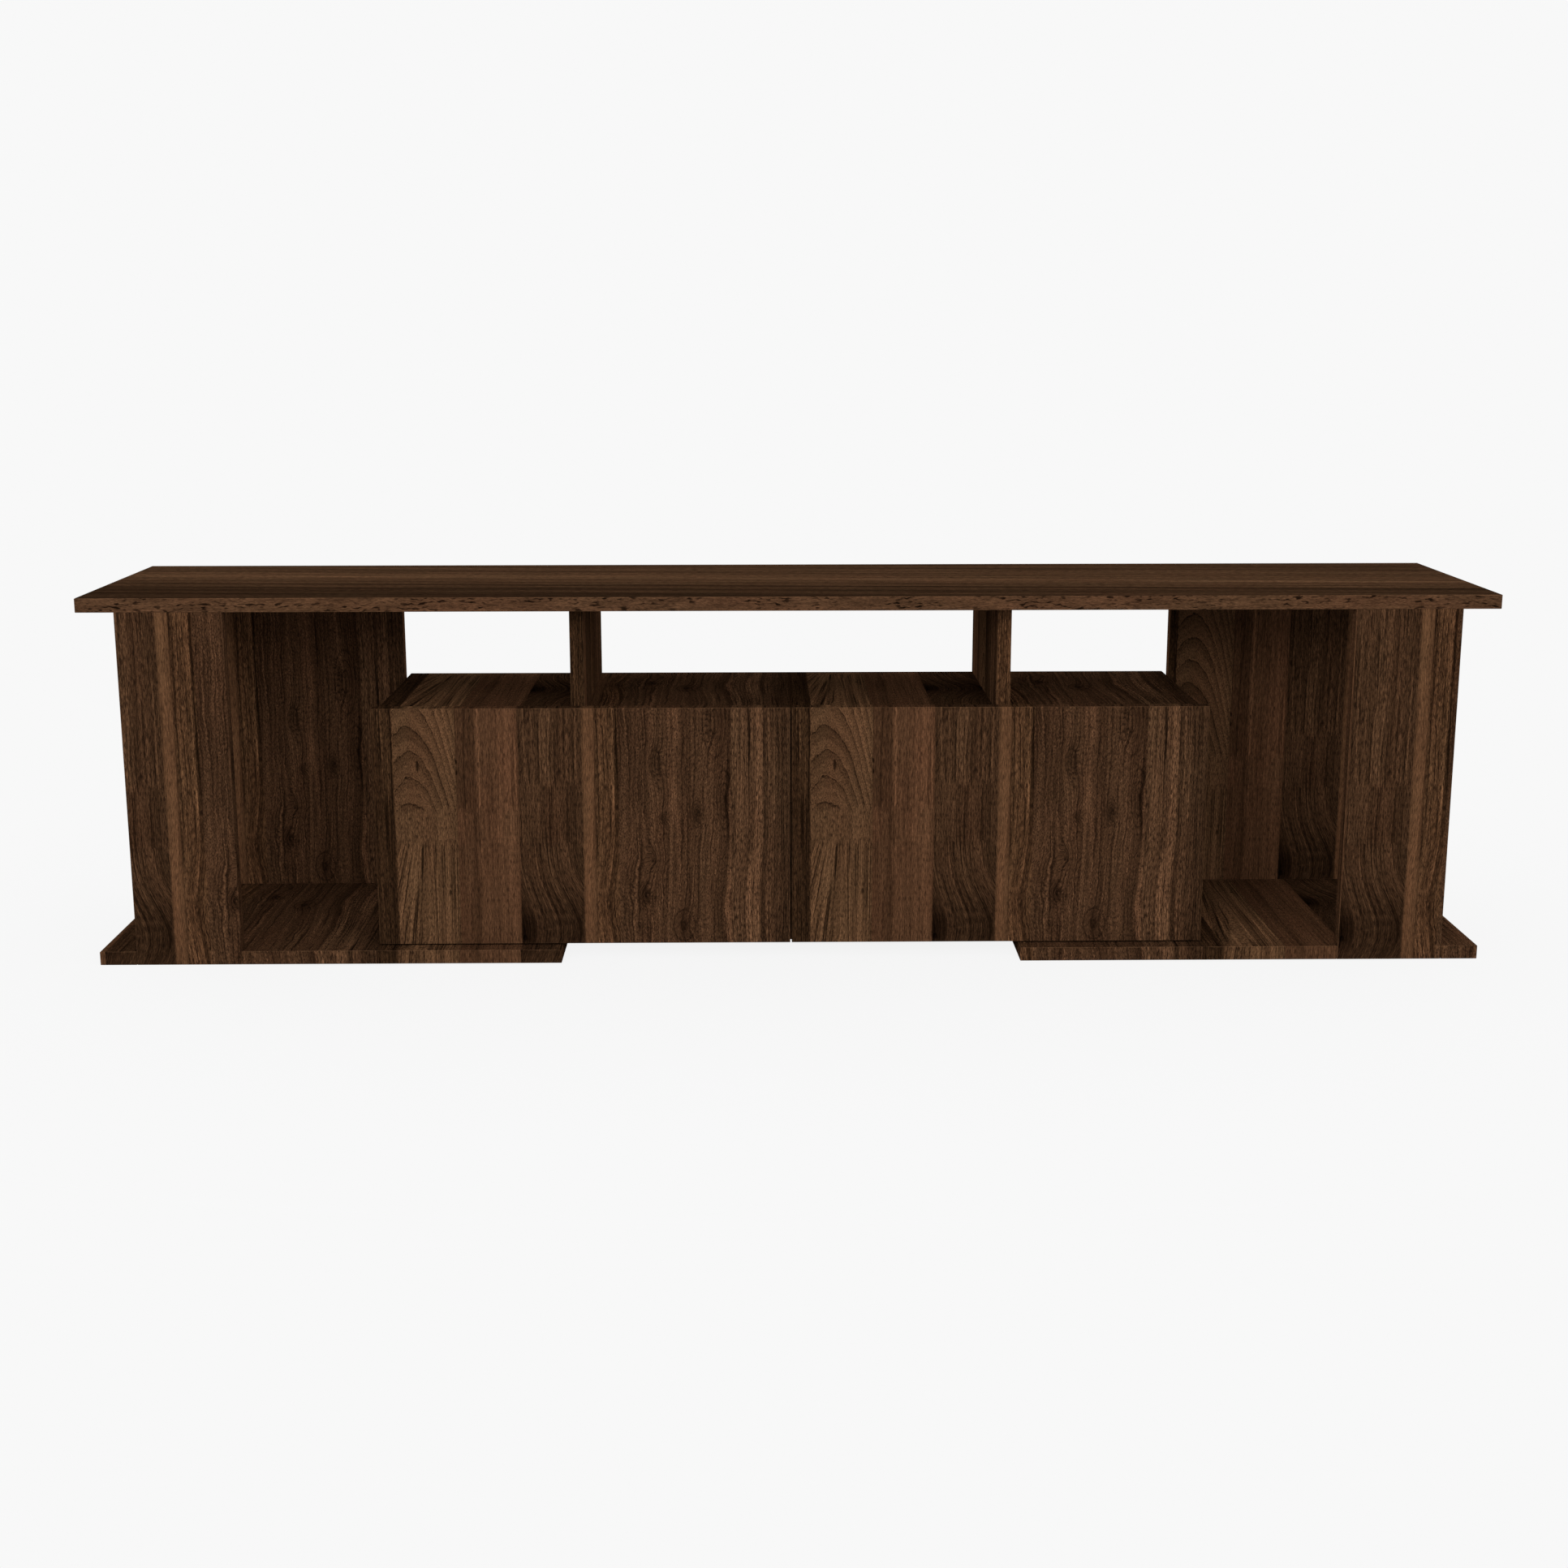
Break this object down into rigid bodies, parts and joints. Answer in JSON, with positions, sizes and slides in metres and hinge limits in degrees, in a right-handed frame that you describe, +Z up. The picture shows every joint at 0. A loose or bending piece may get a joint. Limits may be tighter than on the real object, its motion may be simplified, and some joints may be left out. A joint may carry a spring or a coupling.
{
  "type": "tv unit",
  "caption": "Low wide TV unit in dark walnut laminate: open side niches, a cabinet with side-hung doors, and open bays under a full-length top board.",
  "frame": {"origin": "on the floor, in the middle of the unit's length and depth", "axes": "+X to the right along the length, +Y to the back, +Z up; the doors face -Y"},
  "size_m": [1.8, 0.354, 0.48],
  "materials": {
    "walnut_board": "dark walnut wood-grain laminate on particle board, satin",
    "hardboard": "thin dark-faced hardboard",
    "nickel_plate": "nickel-plated pressed steel",
    "zinc_steel": "zinc-plated steel",
    "brown_plastic": "moulded dark brown plastic",
    "bumper_rubber": "soft grey rubber"
  },
  "bodies": {
    "frame": {"top_board": "walnut_board", "cabinet_top": "walnut_board", "cabinet_bottom": "walnut_board", "cabinet_divider": "walnut_board", "cabinet_back": "hardboard", "base_board_left": "walnut_board", "column_panel_left": "walnut_board", "rear_panel_left": "walnut_board", "post_left": "walnut_board", "cabinet_side_left": "walnut_board", "catch_housing_left": "brown_plastic", "catch_magnet_left": "zinc_steel", "wing_screw_left_1": "zinc_steel", "wing_screw_left_2": "zinc_steel", "wing_screw_left_3": "zinc_steel", "wing_screw_left_4": "zinc_steel", "column_cam_left": "zinc_steel", "column_bolt_left": "zinc_steel", "cabinet_screw_left_1": "zinc_steel", "cabinet_screw_left_2": "zinc_steel", "panel_screw_left_1": "zinc_steel", "panel_screw_left_2": "zinc_steel", "hinge_wing_left_lower": "nickel_plate", "hinge_pin_left_lower": "zinc_steel", "hinge_wing_left_upper": "nickel_plate", "hinge_pin_left_upper": "zinc_steel", "base_board_right": "walnut_board", "column_panel_right": "walnut_board", "rear_panel_right": "walnut_board", "post_right": "walnut_board", "cabinet_side_right": "walnut_board", "catch_housing_right": "brown_plastic", "catch_magnet_right": "zinc_steel", "wing_screw_right_1": "zinc_steel", "wing_screw_right_2": "zinc_steel", "wing_screw_right_3": "zinc_steel", "wing_screw_right_4": "zinc_steel", "column_cam_right": "zinc_steel", "column_bolt_right": "zinc_steel", "cabinet_screw_right_1": "zinc_steel", "cabinet_screw_right_2": "zinc_steel", "panel_screw_right_1": "zinc_steel", "panel_screw_right_2": "zinc_steel", "hinge_wing_right_lower": "nickel_plate", "hinge_pin_right_lower": "zinc_steel", "hinge_wing_right_upper": "nickel_plate", "hinge_pin_right_upper": "zinc_steel"},
    "left_door": {"door_left": "walnut_board", "strike_plate_left": "zinc_steel", "hinge_cup_left_lower": "nickel_plate", "bumper_left_lower": "bumper_rubber", "hinge_cup_left_upper": "nickel_plate", "bumper_left_upper": "bumper_rubber"},
    "right_door": {"door_right": "walnut_board", "strike_plate_right": "zinc_steel", "hinge_cup_right_lower": "nickel_plate", "bumper_right_lower": "bumper_rubber", "hinge_cup_right_upper": "nickel_plate", "bumper_right_upper": "bumper_rubber"}
  },
  "joints": [
    {"name": "left_door_hinge", "type": "hinge", "parent": "frame", "child": "left_door", "pos_m": [-0.54175, -0.136, 0.177], "axis": [0, 0, -1], "range_deg": [0, 110]},
    {"name": "right_door_hinge", "type": "hinge", "parent": "frame", "child": "right_door", "pos_m": [0.54175, -0.136, 0.177], "axis": [0, 0, 1], "range_deg": [0, 110]}
  ]
}
